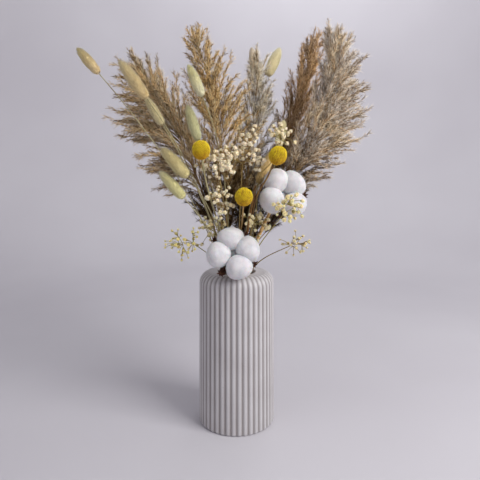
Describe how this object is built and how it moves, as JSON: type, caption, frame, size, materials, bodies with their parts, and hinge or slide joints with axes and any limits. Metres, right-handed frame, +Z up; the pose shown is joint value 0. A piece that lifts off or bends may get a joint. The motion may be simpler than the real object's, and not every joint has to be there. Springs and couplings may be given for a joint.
{
  "type": "dried pampas grass bunch in a ribbed vase",
  "caption": "Dried bouquet of feathery grass plumes, bunny tails, yellow globe flowers, cotton bolls and small florets in a ribbed ceramic vase.",
  "frame": {"origin": "centre of the vase's flat underside", "axes": "+Z up along the vase's axis; the bunch faces -Y, and the widest plume leans to +X"},
  "size_m": [0.3321, 0.1549, 0.5045],
  "materials": {
    "glaze": "matt glaze",
    "plume": "dry, soft and fibrous",
    "dark_plume": "dry, soft and fibrous",
    "tail_head": "downy",
    "stalk": "dry straw",
    "globe": "matt, granular",
    "cotton": "soft lint",
    "husk": "dry and leathery",
    "bark": "dry bark",
    "floret": "dry petals"
  },
  "bodies": {
    "root": {"vase": "glaze", "plume_left": "plume", "plume_tall": "plume", "plume_middle": "plume", "plume_dark": "dark_plume", "plume_right": "plume", "bunny_tail_head_01": "tail_head", "bunny_tail_stem_01": "stalk", "bunny_tail_head_02": "tail_head", "bunny_tail_stem_02": "stalk", "bunny_tail_head_03": "tail_head", "bunny_tail_stem_03": "stalk", "bunny_tail_head_04": "tail_head", "bunny_tail_stem_04": "stalk", "bunny_tail_head_05": "tail_head", "bunny_tail_stem_05": "stalk", "bunny_tail_head_06": "tail_head", "bunny_tail_stem_06": "stalk", "bunny_tail_head_07": "tail_head", "bunny_tail_stem_07": "stalk", "bunny_tail_head_08": "tail_head", "bunny_tail_stem_08": "stalk", "bunny_tail_head_09": "tail_head", "bunny_tail_stem_09": "stalk", "bunny_tail_head_10": "tail_head", "bunny_tail_stem_10": "stalk", "bunny_tail_head_11": "tail_head", "bunny_tail_stem_11": "stalk", "globe_head_01": "globe", "globe_stem_01": "stalk", "globe_head_02": "globe", "globe_stem_02": "stalk", "globe_head_03": "globe", "globe_stem_03": "stalk", "cotton_lobes_front": "cotton", "cotton_husk_front": "husk", "cotton_stem_front": "bark", "cotton_lobes_side": "cotton", "cotton_husk_side": "husk", "cotton_stem_side": "bark", "cotton_twig": "bark", "floret_spray_01": "floret", "floret_spray_02": "floret", "floret_spray_03": "floret", "floret_spray_04": "floret", "floret_spray_05": "floret", "floret_spray_06": "floret", "floret_spray_07": "floret", "floret_spray_08": "floret", "floret_spray_09": "floret"}
  },
  "joints": []
}
